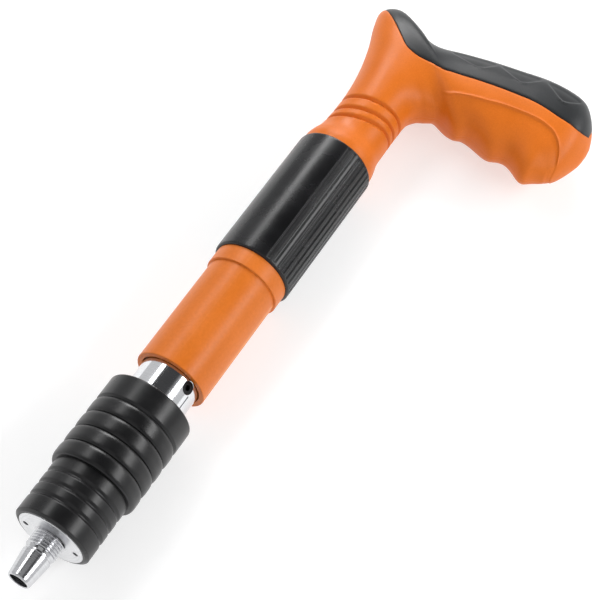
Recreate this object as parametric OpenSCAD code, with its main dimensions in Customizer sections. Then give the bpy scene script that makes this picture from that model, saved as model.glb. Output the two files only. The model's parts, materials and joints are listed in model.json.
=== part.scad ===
// Hand-pressed spring-driven nail gun with a muffler and a cane handle.
// The tool lies along X: the nozzle mouth is at the origin, the handle is at
// the far end, its grip points to -Y, and +Z is the side that faces up when
// the tool lies on its side.

/* [Nozzle] */
// Outer diameter of the nozzle at its mouth
nozzle_mouth_d = 11.3; // [10.6:0.1:12.6]
// Bore that takes the nail with its charge
nozzle_bore_d = 8.8; // [7:0.1:9.4]
// Diameter where the nozzle's cone meets the thread relief
nozzle_cone_d = 14.3; // [13:0.1:15]
// Major diameter of the thread on the nozzle
nozzle_thread_d = 15.3; // [14.6:0.1:15.6]
// Length of the cone
nozzle_cone_l = 13.2; // [10:0.1:14]
// Length of the nozzle that stands out of the front disc
nozzle_out_l = 23.3; // [20:0.1:26]

/* [Muffler] */
// Diameter of the bare metal front disc
disc_d = 33.4; // [31:0.1:34]
// Outer diameter of the front section of the sleeve
sleeve_front_d = 38.5; // [37.8:0.1:40]
// Outer diameter over the ribs of the rear section
sleeve_rear_d = 43.5; // [43:0.1:45]
// Distance from the nozzle mouth to the step between the sections
sleeve_step_x = 53.7; // [50:0.1:56]
// Distance from the nozzle mouth to the rear face of the muffler
sleeve_end_x = 100.7; // [98:0.1:101.5]
// Outer diameter of the steel can inside the sleeve
can_d = 36; // [35:0.1:36.4]
// Wall of the steel can
can_wall = 1.5; // [1:0.1:1.6]
// Number of baffle plates
baffle_count = 5; // [3:1:5]
// Distance between baffle plates
baffle_pitch = 8.4; // [7:0.1:8.6]
// Thickness of a baffle plate
baffle_t = 1.6; // [1:0.1:2.5]

/* [Slide tube] */
// Outer diameter of the polished slide tube
slide_d = 30; // [29:0.1:30.4]
// Inner diameter of the slide tube
slide_id = 24; // [23:0.1:25]
// Distance from the nozzle mouth to the rear end of the slide tube
slide_end_x = 150; // [148:0.5:151]
// Travel of the muffler and slide tube when the tool is pressed
press_travel = 13.5; // [10:0.1:13.5]
// Diameter of the set screw hole in the slide tube
set_screw_d = 6.4; // [5:0.1:7]
// Angle of the set screw about the tube, from +Z toward -Y
set_screw_angle = 50; // [0:1:90]

/* [Outer tube] */
// Outer diameter of the outer tube
outer_d = 36.3; // [36:0.1:36.6]
// Inner diameter of the outer tube
outer_id = 34; // [33.6:0.1:34.4]
// Distance from the nozzle mouth to the mouth of the outer tube
outer_x = 116.8; // [116.5:0.1:117.5]
// Diameter of the ring in front of the grip sleeve
ring_d = 38.5; // [38.2:0.1:39.5]
// Width of that ring
ring_w = 8.9; // [7:0.1:10]

/* [Grip sleeve] */
// Outer diameter of the grip sleeve
grip_d = 41.2; // [40.4:0.1:42.4]
// Length of the grip sleeve
grip_l = 78.6; // [70:0.1:78.6]
// Number of grooves in each ribbed panel
groove_count = 10; // [7:1:11]
// Angle between two grooves
groove_step = 10; // [8:0.5:12]
// Depth of a groove
groove_depth = 0.7; // [0.3:0.1:1]

/* [Handle] */
// Width of the handle over its collar
handle_w = 39.7; // [39.4:0.1:41]
// Height of the ridges between the fingers
finger_depth = 2.3; // [0:0.1:2.4]
// Distance between the ridges
finger_pitch = 21.5; // [20:0.1:23]
// Wall of the hollow handle
handle_wall = 4.2; // [3.8:0.1:5]
// Thickness of the soft back strap
strap_t = 2; // [1.5:0.1:2.4]
// Squareness of the handle's cross-section, 2 for an ellipse
handle_square = 2.1; // [2:0.05:2.6]
// Rings along the handle
handle_rings = 44; // [24:1:60]
// Points round each ring
handle_sides = 24; // [16:4:36]

/* [Striking mechanism] */
// Diameter of the firing pin
pin_d = 6; // [5:0.1:6.4]
// Forward travel of the firing pin
pin_travel = 4; // [2:0.1:4]
// Diameter of the striker
striker_d = 21; // [20:0.1:21.2]
// Travel of the sear across the striker at full press
sear_travel = 3; // [2.5:0.1:3]
// Radial clearance of parts that slide in a bore
running_gap = 0.05; // [0.02:0.01:0.1]

/* [Hidden] */
$fn = 96;
eps = 0.01;

orange = "#e0742a";
rubber_black = "#262626";
grip_black = "#161616";
strap_black = "#30363a";
steel = "#b9bcc0";
bright = "#dfe3e8";

// Nozzle and front disc
disc_t = 8;
disc_x = nozzle_out_l;
shoulder_x = disc_x + disc_t;
shoulder_r = 11.5;
shoulder_t = 2.7;
nozzle_tail_r = 10.5;
nozzle_end_x = 46;
relief_r = 6.8;
relief_l = 1.9;
relief_edge = 0.4;
thread_x = nozzle_cone_l + relief_l + 0.6;
disc_bore_r = nozzle_thread_d / 2 - 0.3;
nozzle_bore_l = 28;
mouth_bevel = 0.8;
key_hole_r = 1.4;
key_hole_at = 13;
key_hole_depth = 3;
disc_lip_x = 26;

// Muffler
can_x = disc_lip_x;
can_end_x = sleeve_end_x - 1.7;
can_bore_r = can_d / 2 - can_wall;
sleeve_front_x = disc_x + 0.4;
sleeve_bevel = 1.3;
groove_x = [33.7, 40.2, 46.7];
groove_half = 0.7;
groove_sink = 0.5;
rib_pitch = 8.5;
rib_x = 57.9;
rib_depth = 1;
rib_steps = 10;
rib_count = 3.5;
band_sink = 0.1;
cap_inset = 1;
deep_groove_x = 87.6;
deep_groove_half = 1.6;
deep_groove_r = 20.7;
rear_round = 2;
baffle_x = nozzle_end_x + 0.2;
baffle_play = 0.1;
spacer_wall = 1.5;
cap_x = baffle_x + (baffle_count - 1) * baffle_pitch + baffle_t;
cap_step = 4;
cap_end_x = sleeve_end_x - 0.2;
pin_tube_r = 8;
pin_tube_bore_r = 3.6;
pin_tube_x = 38;
pin_tube_end_x = 96;
port_r = 1.6;
chamber_lip = 0.1;

// Slide tube and the pieces in it
slide_x = cap_x + cap_step;
stop_ring_x = slide_end_x - 4;
stop_ring_w = 2.6;
stop_ring_r = 16.6;
stop_ring_seat_r = 14.4;
stop_ring_gap = 6;
spring_end_gap = 0.05;
set_screw_x = 113.6;
set_screw_in_r = 10.6;
set_screw_out_r = 14.5;
set_screw_socket_r = 1.6;
set_screw_socket_depth = 2;
key_line_angle = 62;
key_line_w = 0.7;
key_line_depth = 0.4;
pin_bush_x = 96;
pin_bush_end_x = 119.5;
stop_plug_x = 142;
stop_plug_end_x = slide_end_x - 0.5;

// Firing pin
pin_r = pin_d / 2;
pin_x = 30;
pin_nose_r = 1.6;
pin_nose_l = 3;
pin_head_x = 132;
pin_head_l = 6;
pin_head_r = 7;
pin_end_x = 181.7;
pin_spring_r = 5.2;
pin_spring_wire = 0.5;
pin_spring_turns = 5;

// Outer tube and the pieces in it
outer_end_x = 265.1;
bush_x = 120;
bush_end_x = stop_ring_x - 0.3;
ring_end_x = outer_end_x - grip_l;
ring_x = ring_end_x - ring_w;
ring_bevel = 0.6;
grip_bevel = 1.2;
groove_panels = [65, 245];
groove_w = 1.4;
groove_inset = 3;
fit_gap = 0.05;
mouth_wall = 0.9;
mouth_l = 3;

// Trip sleeve, striker and sear
trip_x = 180;
trip_end_x = 216;
trip_wide_r = 14.3;
trip_cone_x = 187.8;
trip_cone_end_x = 201.8;
trip_cone_r = 13.8;
trip_cone_end_r = 11;
trip_guide_x = 203;
trip_screw_x = 183.6;
trip_screw_r = 2;
trip_screw_in_r = 15;
trip_screw_sink = 0.2;
trip_socket_r = 1.1;
trip_socket_depth = 1.5;
trip_lip_x = 186.8;
striker_x = 178;
striker_end_x = 226;
striker_r = striker_d / 2;
striker_bore_r = 3.4;
striker_bore_l = 24;
spigot_r = 6.8;
spigot_l = 8;
sear_x = 182.05;
sear_l = 5.9;
sear_w = 8.6;
sear_gap = 0.05;
sear_top_r = 13.4;
sear_bottom_z = -6.2;
sear_slot_z = sear_bottom_z - sear_travel - 0.1;
sear_pocket_r = 1.6;
sear_pocket_l = 2.4;
sear_spring_r = 1.1;
sear_spring_wire = 0.25;
sear_spring_turns = 4;
return_spring_r = 13.6;
return_spring_wire = 0.9;
return_spring_turns = 5;
main_spring_r = 8.5;
main_spring_wire = 1.2;
main_spring_turns = 6;
spring_play = 0.3;
wire_sides = 6;
wire_steps = 14;

// Rear plug: flange in the outer tube, tenon in the handle
plug_x = 256;
plug_end_x = 268.2;
tenon_r = 13.9;
tenon_end_x = 300;
tenon_gap = 0.1;

// Handle screws, driven from below: X, Y
screw_at = [[289, 0], [338, 12], [334, -44], [338, -82]];
screw_r = 2;
screw_head_r = 3.6;
screw_head_l = 3.4;
head_gap = 0.2;
screw_gap = 0.05;
screw_seat_z = -10.5;
screw_tip_z = 10;
boss_r = 5.2;
hole_sides = 32;
socket_r = 1.5;
socket_depth = 1.8;

// Sections of the handle from the collar round to the end of the grip:
// X and Y on the back, X and Y on the finger side, half thickness
sections = [
    [265.2, 19.8, 265.2, -19.8, 19.85],
    [268.6, 19.8, 268.6, -19.8, 19.85],
    [272.0, 19.0, 272.0, -19.3, 19.0],
    [279.0, 17.0, 279.0, -17.8, 17.3],
    [292.0, 16.2, 290.0, -17.6, 17.2],
    [306.0, 16.6, 300.0, -17.6, 17.4],
    [322.0, 18.7, 309.8, -18.2, 17.6],
    [338.0, 22.6, 314.9, -21.6, 17.8],
    [351.6, 27.3, 316.9, -25.5, 18.0],
    [361.4, 28.9, 318.6, -29.2, 18.0],
    [366.8, 22.6, 318.4, -33.8, 18.0],
    [363.6, 12.6, 317.0, -38.8, 18.0],
    [358.0, 3.0, 316.5, -44.0, 17.8],
    [357.0, -7.0, 316.4, -49.8, 17.6],
    [361.6, -21.0, 316.1, -57.0, 17.4],
    [366.4, -37.0, 315.7, -64.0, 17.2],
    [370.0, -52.0, 315.0, -70.5, 17.0],
    [373.2, -66.0, 314.0, -77.0, 16.8],
    [374.0, -79.0, 313.2, -84.2, 16.0],
    [372.0, -89.0, 316.0, -91.2, 14.5],
    [365.6, -95.6, 322.0, -97.2, 11.5],
    [357.0, -100.6, 334.4, -102.6, 5.5],
    [349.0, -103.3, 343.0, -103.8, 1.6]
];
last_section = len(sections) - 1;
finger_y = -60.9;
finger_from_y = -28;
finger_to_y = -92;
finger_fade = 8;
finger_spread = 0.7;
cavity_from = 6.2;
cavity_rings = 20;
cavity_sides = 16;
cavity_to = 19.6;
strap_from = 8.33;
strap_to = 20.8;
// Half of the angle that the strap covers round the back: place along the handle, angle
strap_edge = [[8.33, 84], [8.5, 92], [9, 101], [9.8, 105], [10.6, 102], [11.4, 97], [12.2, 91],
    [12.9, 87], [14, 86], [16.4, 85], [18.5, 87], [19.5, 86], [20.4, 80], [20.8, 68]];
// The strap's front end leans back over the horn: how far, and over what length
strap_lean = 0.9;
strap_lean_at = 8.4;
strap_lean_l = 3;
strap_sides = 15;
strap_fineness = 1.5;
strap_over = 3;

// Point on a smooth curve through rows of numbers, at the place u along them
function row(rows, k) = rows[min(max(k, 0), len(rows) - 1)];
function blend4(a, b, c, d, t) =
    (b * 2 + (c - a) * t + (a * 2 - b * 5 + c * 4 - d) * t * t
    + (b * 3 - a - c * 3 + d) * t * t * t) / 2;
function smooth_row(rows, u) =
    let (k = min(floor(u), len(rows) - 2))
    blend4(row(rows, k - 1), row(rows, k), row(rows, k + 1), row(rows, k + 2), u - k);

// Rounded power, which squares the section off a little
function soft(v) = sign(v) * pow(abs(v), 2 / handle_square);

// Height of the finger ridges at y on the finger side
function ramp(v) = min(max(v, 0), 1);
function fingers(y) = finger_depth * cos(360 * (y - finger_y) / finger_pitch)
    * ramp((finger_from_y - y) / finger_fade) * ramp((y - finger_to_y) / finger_fade);

// Point of the handle's surface at u along it and angle a round it, moved out by grow
function skin(u, a, grow) =
    let (
        s = smooth_row(sections, u),
        half = [s[0] - s[2], s[1] - s[3]] / 2,
        out = grow + fingers(s[3]) * pow(max(-cos(a), 0), finger_spread),
        k = (norm(half) + out) / norm(half) * soft(cos(a))
    )
    [(s[0] + s[2]) / 2 + half[0] * k, (s[1] + s[3]) / 2 + half[1] * k,
    (s[4] * handle_w / sections[0][4] / 2 + grow) * soft(sin(a))];

function skin_ring(u, grow, sides) =
    [for (j = [0:sides - 1]) skin(u, 360 * (j + 0.5) / sides, grow)];

function half_ring(u) = [for (j = [0:handle_sides / 2]) skin(u, 360 * j / handle_sides, 0)];

// Place along the handle of the strap's point at u and a
function lean(u, a) =
    let (t = ramp(1 - abs(u - strap_lean_at) / strap_lean_l))
    u + strap_lean * max(cos(a), 0) * t * t * (3 - 2 * t);

// Closed ring for the strap: out along the surface and back below it
function strap_ring(u, over) =
    let (half = lookup(u, strap_edge), turns = [for (j = [0:strap_sides]) 2 * j / strap_sides - 1])
    concat(
        [for (t = turns) skin(lean(u, half * t), half * t, over)],
        [for (t = turns) skin(lean(u, half * t), -half * t, -strap_t)]);

// Faces that close a ring of m points from index k: one face, or a strip across a folded ring
function cap(k, m, folded) = folded
    ? [for (j = [0:m / 2 - 2]) each [[k + j, k + j + 1, k + m - 2 - j],
        [k + j, k + m - 2 - j, k + m - 1 - j]]]
    : [[for (j = [0:m - 1]) k + j]];

// Solid through a list of rings with the same number of points
module loft(rings, folded = false) {
    m = len(rings[0]);
    n = len(rings);
    polyhedron(
        points = [for (r = rings) each r],
        faces = concat(
            cap(0, m, folded),
            [for (i = [0:n - 2], j = [0:m - 1])
                [i * m + j, (i + 1) * m + j, (i + 1) * m + (j + 1) % m]],
            [for (i = [0:n - 2], j = [0:m - 1])
                [i * m + j, (i + 1) * m + (j + 1) % m, i * m + (j + 1) % m]],
            [for (f = cap((n - 1) * m, m, folded)) [for (i = [len(f) - 1:-1:0]) f[i]]]));
}

// Rod along X
module rod(x0, x1, r) {
    translate([x0, 0, 0]) rotate([0, 90, 0]) cylinder(h = x1 - x0, r = r);
}

// Tube along X
module tube(x0, x1, r_out, r_in) {
    difference() {
        rod(x0, x1, r_out);
        rod(x0 - 1, x1 + 1, r_in);
    }
}

// Solid of revolution about X from [radius, x] points
module turned(profile) {
    rotate([0, 90, 0]) rotate_extrude() polygon(profile);
}

// Turns a piece about the tool's axis, from +Z toward -Y
module round_axis(angle) {
    rotate([angle, 0, 0]) children();
}

// Helical spring about X
module spring(x0, x1, r, wire, turns) {
    steps = turns * wire_steps;
    pitch_x = (x1 - x0 - 2 * wire) / steps;
    loft([for (i = [0:steps])
        [for (j = [0:wire_sides - 1])
            let (
                turn = 360 * i / wire_steps,
                side = 360 * j / wire_sides,
                out = r + wire * cos(side)
            )
            [x0 + wire + pitch_x * i + wire * sin(side), out * cos(turn), out * sin(turn)]]]);
}

module nozzle() {
    color(bright) difference() {
        turned([
            [0, 0],
            [nozzle_mouth_d / 2 - mouth_bevel / 2, 0],
            [nozzle_mouth_d / 2, mouth_bevel],
            [nozzle_cone_d / 2, nozzle_cone_l],
            [relief_r, nozzle_cone_l + relief_edge],
            [relief_r, nozzle_cone_l + relief_l],
            [nozzle_thread_d / 2, thread_x],
            [nozzle_thread_d / 2, disc_x],
            [disc_bore_r, disc_x],
            [disc_bore_r, shoulder_x],
            [shoulder_r, shoulder_x],
            [shoulder_r, shoulder_x + shoulder_t],
            [nozzle_tail_r, shoulder_x + shoulder_t],
            [nozzle_tail_r, nozzle_end_x],
            [0, nozzle_end_x]
        ]);
        rod(-1, nozzle_bore_l, nozzle_bore_d / 2);
        rod(0, nozzle_end_x + 1, pin_tube_bore_r);
        rod(pin_tube_x, nozzle_end_x + 1, pin_tube_r);
    }
}

module front_disc() {
    color(bright) difference() {
        union() {
            rod(disc_x, disc_lip_x, disc_d / 2);
            rod(disc_lip_x, shoulder_x, can_bore_r);
        }
        rod(disc_x - 1, shoulder_x + 1, disc_bore_r);
        for (side = [-1, 1])
            translate([disc_x - 1, side * key_hole_at, 0])
                rotate([0, 90, 0]) cylinder(h = key_hole_depth + 1, r = key_hole_r);
    }
}

// Radius of the rear section's ribs at x
function rib_r(x) = sleeve_rear_d / 2 - rib_depth * (1 - cos(360 * (x - rib_x) / rib_pitch)) / 2;

module muffler_sleeve() {
    front_r = sleeve_front_d / 2;
    rear_r = sleeve_rear_d / 2;
    groove_r = front_r - groove_sink;
    band_r = rear_r - band_sink;
    rib_end_x = rib_x + rib_count * rib_pitch;
    rib_n = rib_count * rib_steps;
    color(rubber_black) difference() {
        turned(concat(
            [[disc_d / 2, sleeve_front_x], [front_r - sleeve_bevel, sleeve_front_x],
            [front_r, sleeve_front_x + sleeve_bevel]],
            [for (x = groove_x) each [
                [front_r, x - groove_half],
                [groove_r, x - groove_half / 2],
                [groove_r, x + groove_half / 2],
                [front_r, x + groove_half]]],
            [[front_r, sleeve_step_x], [rear_r - rib_depth, sleeve_step_x],
            [rear_r, rib_x - rib_pitch / 3]],
            [for (i = [0:rib_n])
                let (x = rib_x + (rib_end_x - rib_x) * i / rib_n)
                [rib_r(x), x]],
            [[deep_groove_r, deep_groove_x + deep_groove_half / 2],
            [band_r, deep_groove_x + 1.2 * deep_groove_half],
            [band_r, sleeve_end_x - rear_round]],
            [for (a = [15:15:75])
                [band_r - rear_round * (1 - cos(a)), sleeve_end_x - rear_round * (1 - sin(a))]],
            [[band_r - rear_round, sleeve_end_x], [can_d / 2 - cap_inset, sleeve_end_x],
            [can_d / 2 - cap_inset, can_end_x], [can_d / 2, can_end_x], [can_d / 2, can_x],
            [disc_d / 2, can_x]]));
    }
}

module muffler_can() {
    color(steel) tube(can_x, can_end_x, can_d / 2, can_bore_r);
}

module baffle_plates() {
    color(steel) for (i = [0:baffle_count - 1])
        tube(baffle_x + i * baffle_pitch, baffle_x + i * baffle_pitch + baffle_t,
            can_bore_r - baffle_play, pin_tube_r + baffle_play);
}

module baffle_spacers() {
    color(bright) for (i = [0:baffle_count - 2])
        tube(baffle_x + i * baffle_pitch + baffle_t, baffle_x + (i + 1) * baffle_pitch,
            can_bore_r - baffle_play, can_bore_r - baffle_play - spacer_wall);
}

module muffler_rear_cap() {
    color(steel) difference() {
        union() {
            rod(cap_x, can_end_x, can_bore_r);
            rod(can_end_x, cap_end_x, can_d / 2 - cap_inset);
        }
        rod(cap_x - 1, cap_end_x + 1, pin_tube_r + baffle_play);
        rod(slide_x, cap_end_x + 1, slide_d / 2);
    }
}

module pin_tube() {
    color(steel) difference() {
        tube(pin_tube_x + chamber_lip, pin_tube_end_x, pin_tube_r, pin_tube_bore_r);
        for (i = [0:baffle_count - 2], turn = [0, 90])
            translate([baffle_x + (i + 0.5) * baffle_pitch + baffle_t / 2, 0, 0])
                rotate([turn, 0, 0])
                    cylinder(h = 4 * pin_tube_r, r = port_r, center = true);
    }
}

module slide_tube() {
    color(bright) difference() {
        tube(slide_x, slide_end_x, slide_d / 2, slide_id / 2);
        tube(stop_ring_x, stop_ring_x + stop_ring_w, slide_d / 2 + 1, stop_ring_seat_r);
        round_axis(set_screw_angle) translate([set_screw_x, 0, 0])
            cylinder(h = slide_d, r = set_screw_d / 2);
        round_axis(key_line_angle)
            translate([cap_end_x, -key_line_w / 2, slide_d / 2 - key_line_depth])
                cube([set_screw_x - cap_end_x, key_line_w, slide_d]);
    }
}

module slide_set_screw() {
    color(grip_black) round_axis(set_screw_angle) translate([set_screw_x, 0, 0])
        difference() {
            translate([0, 0, set_screw_in_r])
                cylinder(h = set_screw_out_r - set_screw_in_r, r = set_screw_d / 2);
            translate([0, 0, set_screw_out_r - set_screw_socket_depth])
                cylinder(h = set_screw_socket_depth + 1, r = set_screw_socket_r, $fn = 6);
        }
}

module stop_ring() {
    color(steel) difference() {
        tube(stop_ring_x, stop_ring_x + stop_ring_w, stop_ring_r, stop_ring_seat_r);
        translate([stop_ring_x - 1, -stop_ring_gap / 2, -stop_ring_r - 1])
            cube([stop_ring_w + 2, stop_ring_gap, stop_ring_r]);
    }
}

module pin_bush() {
    color("#b08d57") difference() {
        tube(pin_bush_x, pin_bush_end_x, slide_id / 2, pin_r + running_gap);
        round_axis(set_screw_angle) translate([set_screw_x, 0, set_screw_in_r])
            cylinder(h = slide_d, r = set_screw_d / 2);
    }
}

module pin_stop_plug() {
    color("#b08d57") tube(stop_plug_x, stop_plug_end_x, slide_id / 2, pin_r + running_gap);
}

module pin_spring() {
    color(steel) spring(pin_bush_end_x + spring_play, pin_head_x - spring_play,
        pin_spring_r, pin_spring_wire, pin_spring_turns);
}

module firing_pin() {
    color(bright) turned([
        [0, pin_x],
        [pin_nose_r, pin_x],
        [pin_r, pin_x + pin_nose_l],
        [pin_r, pin_head_x],
        [pin_head_r, pin_head_x],
        [pin_head_r, pin_head_x + pin_head_l],
        [pin_r, pin_head_x + pin_head_l],
        [pin_r, pin_end_x],
        [0, pin_end_x]
    ]);
}

module outer_tube() {
    color(orange) difference() {
        tube(outer_x, outer_end_x, outer_d / 2, outer_id / 2);
        rod(outer_x - 1, outer_x + mouth_l, outer_d / 2 - mouth_wall);
        for (side = [0, 180])
            rotate([90 + side, 0, 0]) translate([trip_screw_x, 0, trip_screw_in_r])
                cylinder(h = outer_d, r = trip_screw_r);
    }
}

module tube_ring() {
    ring_r = ring_d / 2;
    bore_r = outer_d / 2 + fit_gap;
    color(orange) turned([
        [bore_r, ring_x],
        [ring_r - ring_bevel, ring_x],
        [ring_r, ring_x + ring_bevel],
        [ring_r, ring_end_x],
        [bore_r, ring_end_x]
    ]);
}

module front_bush() {
    color("#b08d57") tube(bush_x, bush_end_x, outer_id / 2, slide_d / 2 + running_gap);
}

module grip_sleeve() {
    sleeve_r = grip_d / 2;
    bore_r = outer_d / 2 + fit_gap;
    color(grip_black) difference() {
        turned([
            [bore_r, ring_end_x],
            [sleeve_r - grip_bevel, ring_end_x],
            [sleeve_r, ring_end_x + grip_bevel],
            [sleeve_r, outer_end_x - grip_bevel],
            [sleeve_r - grip_bevel, outer_end_x],
            [bore_r, outer_end_x]
        ]);
        for (panel = groove_panels, i = [0:groove_count - 1])
            round_axis(panel + groove_step * (i - (groove_count - 1) / 2))
                translate([ring_end_x + groove_inset, -groove_w / 2, sleeve_r - groove_depth])
                    cube([grip_l - 2 * groove_inset, groove_w, 2 * groove_depth]);
    }
}

module return_spring() {
    color(steel) spring(slide_end_x + spring_play, trip_x - spring_play,
        return_spring_r, return_spring_wire, return_spring_turns);
}

module trip_sleeve() {
    color(steel) difference() {
        turned([
            [trip_wide_r, trip_x],
            [outer_id / 2, trip_x],
            [outer_id / 2, trip_end_x],
            [striker_r + running_gap, trip_end_x],
            [striker_r + running_gap, trip_guide_x],
            [trip_cone_end_r, trip_cone_end_x],
            [trip_cone_r, trip_cone_x],
            [trip_wide_r, trip_lip_x]
        ]);
        for (side = [0, 180])
            rotate([90 + side, 0, 0]) translate([trip_screw_x, 0, trip_screw_in_r])
                cylinder(h = outer_d, r = trip_screw_r);
    }
}

module trip_sleeve_screws() {
    screw_l = outer_d / 2 - trip_screw_in_r - trip_screw_sink;
    color(grip_black) for (side = [0, 180])
        rotate([90 + side, 0, 0]) translate([trip_screw_x, 0, trip_screw_in_r])
            difference() {
                cylinder(h = screw_l, r = trip_screw_r);
                translate([0, 0, screw_l - trip_socket_depth])
                    cylinder(h = 2 * trip_socket_depth, r = trip_socket_r, $fn = 6);
            }
}

module striker() {
    color(steel) difference() {
        union() {
            rod(striker_x, striker_end_x, striker_r);
            rod(striker_end_x, striker_end_x + spigot_l, spigot_r);
        }
        rod(striker_x - 1, striker_x + striker_bore_l, striker_bore_r);
        translate([sear_x - sear_gap, -sear_w / 2 - sear_gap, sear_slot_z])
            cube([sear_l + 2 * sear_gap, sear_w + 2 * sear_gap, striker_d]);
    }
}

module sear() {
    color("#8a8f94") difference() {
        intersection() {
            translate([sear_x, -sear_w / 2, sear_bottom_z])
                cube([sear_l, sear_w, sear_top_r - sear_bottom_z + 1]);
            rod(sear_x - 1, sear_x + sear_l + 1, sear_top_r);
        }
        translate([sear_x - 1, 0, sear_travel]) rotate([0, 90, 0])
            cylinder(h = sear_l + 2, r = striker_bore_r);
        translate([sear_x + sear_l / 2, 0, sear_bottom_z - 1])
            cylinder(h = sear_pocket_l + 1, r = sear_pocket_r);
    }
}

module sear_spring() {
    color(steel) translate([sear_x + sear_l / 2, 0, sear_slot_z]) rotate([0, -90, 0])
        spring(spring_end_gap, sear_bottom_z + sear_pocket_l - sear_slot_z - 2 * spring_end_gap,
            sear_spring_r, sear_spring_wire, sear_spring_turns);
}

module main_spring() {
    color(steel) spring(striker_end_x + spring_play, plug_x - spring_play,
        main_spring_r, main_spring_wire, main_spring_turns);
}

module rear_plug() {
    color(steel) difference() {
        union() {
            rod(plug_x, plug_end_x, outer_id / 2);
            rod(plug_end_x, tenon_end_x, tenon_r);
        }
        translate([screw_at[0][0], screw_at[0][1], -tenon_r - 1]) {
            cylinder(h = 2 * tenon_r + 2, r = screw_r);
            cylinder(h = tenon_r + 1 + screw_seat_z, r = screw_head_r + head_gap);
        }
    }
}

// Upper half of the handle, flat at z = 0
module half_handle() {
    loft([for (i = [0:handle_rings]) half_ring(last_section * i / handle_rings)]);
}

module handle_cavity() {
    difference() {
        loft([for (i = [0:cavity_rings])
            skin_ring(cavity_from + (cavity_to - cavity_from) * i / cavity_rings,
                -handle_wall, cavity_sides)]);
        for (p = screw_at)
            translate([p[0], p[1], -grip_d])
                cylinder(h = 2 * grip_d, r = boss_r, $fn = hole_sides);
    }
}

module strap_solid(over) {
    rings = ceil(strap_fineness * handle_rings * (strap_to - strap_from) / last_section);
    loft([for (i = [0:rings])
        strap_ring(strap_from + (strap_to - strap_from) * i / rings, over)], true);
}

// Half of the hollow handle, before its screw holes
module handle_half() {
    difference() {
        half_handle();
        handle_cavity();
        strap_solid(strap_over);
        rod(outer_x, plug_end_x + tenon_gap, outer_id / 2 + tenon_gap);
        rod(outer_x, tenon_end_x + tenon_gap, tenon_r + tenon_gap);
    }
}

module handle_shell_top() {
    color(orange) resize([0, 0, handle_w / 2]) difference() {
        handle_half();
        for (p = screw_at)
            translate([p[0], p[1], -1])
                cylinder(h = screw_tip_z + 1.2, r = screw_r + screw_gap, $fn = hole_sides);
    }
}

module handle_shell_bottom() {
    color(orange) resize([0, 0, handle_w / 2]) difference() {
        mirror([0, 0, 1]) handle_half();
        for (p = screw_at)
            translate([p[0], p[1], screw_seat_z]) {
                translate([0, 0, -1])
                    cylinder(h = 2 - screw_seat_z, r = screw_r + screw_gap, $fn = hole_sides);
                translate([0, 0, -grip_d])
                    cylinder(h = grip_d, r = screw_head_r + head_gap, $fn = hole_sides);
            }
    }
}

module handle_back_strap() {
    color(strap_black) strap_solid(0);
}

module handle_screws() {
    color(grip_black) for (p = screw_at)
        translate([p[0], p[1], 0]) difference() {
            union() {
                translate([0, 0, screw_seat_z])
                    cylinder(h = screw_tip_z - screw_seat_z, r = screw_r);
                translate([0, 0, screw_seat_z - screw_head_l])
                    cylinder(h = screw_head_l, r = screw_head_r);
            }
            translate([0, 0, screw_seat_z - screw_head_l - 1])
                cylinder(h = socket_depth + 1, r = socket_r, $fn = 6);
        }
}

nozzle();
front_disc();
muffler_sleeve();
muffler_can();
baffle_plates();
baffle_spacers();
muffler_rear_cap();
pin_tube();
slide_tube();
slide_set_screw();
stop_ring();
pin_bush();
pin_stop_plug();
pin_spring();
firing_pin();
outer_tube();
tube_ring();
front_bush();
grip_sleeve();
return_spring();
trip_sleeve();
trip_sleeve_screws();
striker();
sear();
sear_spring();
main_spring();
rear_plug();
handle_shell_top();
handle_shell_bottom();
handle_back_strap();
handle_screws();
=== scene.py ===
import json
from math import ceil, cos, exp, floor, hypot, pi, radians, sin

import bmesh
import bpy
from mathutils import Matrix, Vector


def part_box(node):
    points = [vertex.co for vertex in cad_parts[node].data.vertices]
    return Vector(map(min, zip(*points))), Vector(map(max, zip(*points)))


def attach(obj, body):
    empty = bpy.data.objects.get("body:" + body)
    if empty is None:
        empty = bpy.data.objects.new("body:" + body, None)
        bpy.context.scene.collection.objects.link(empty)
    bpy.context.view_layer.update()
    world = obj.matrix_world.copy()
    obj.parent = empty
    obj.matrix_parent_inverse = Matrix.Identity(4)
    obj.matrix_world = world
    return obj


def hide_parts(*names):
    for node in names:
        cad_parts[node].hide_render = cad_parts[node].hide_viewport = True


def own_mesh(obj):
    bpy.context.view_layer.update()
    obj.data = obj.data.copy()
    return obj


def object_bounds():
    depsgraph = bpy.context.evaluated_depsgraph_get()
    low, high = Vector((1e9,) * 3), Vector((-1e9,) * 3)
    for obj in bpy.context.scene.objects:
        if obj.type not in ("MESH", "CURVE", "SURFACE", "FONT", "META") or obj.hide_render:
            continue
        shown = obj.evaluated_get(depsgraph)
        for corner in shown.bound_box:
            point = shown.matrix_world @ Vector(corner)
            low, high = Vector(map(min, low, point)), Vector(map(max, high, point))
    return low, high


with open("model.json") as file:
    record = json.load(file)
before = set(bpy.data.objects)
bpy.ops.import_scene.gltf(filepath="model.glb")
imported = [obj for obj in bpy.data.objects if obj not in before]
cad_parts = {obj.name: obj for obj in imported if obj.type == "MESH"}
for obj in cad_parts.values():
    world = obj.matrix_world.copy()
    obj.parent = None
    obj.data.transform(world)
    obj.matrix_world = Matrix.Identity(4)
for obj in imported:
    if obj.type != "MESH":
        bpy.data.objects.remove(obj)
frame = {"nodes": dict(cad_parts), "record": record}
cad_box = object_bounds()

MM = 0.001
BODY_OF = {n: b for b, ns in frame["record"]["behaviour"]["bodies"].items() for n in ns}
SLOT_OF = {s["node"]: s["material_slot"] for s in frame["record"]["subparts"]}


# ---------------------------------------------------------------- places

def span(node):
    """First and last X of a CAD node, in millimetres."""
    low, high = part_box(node)
    return low.x / MM, high.x / MM


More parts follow.
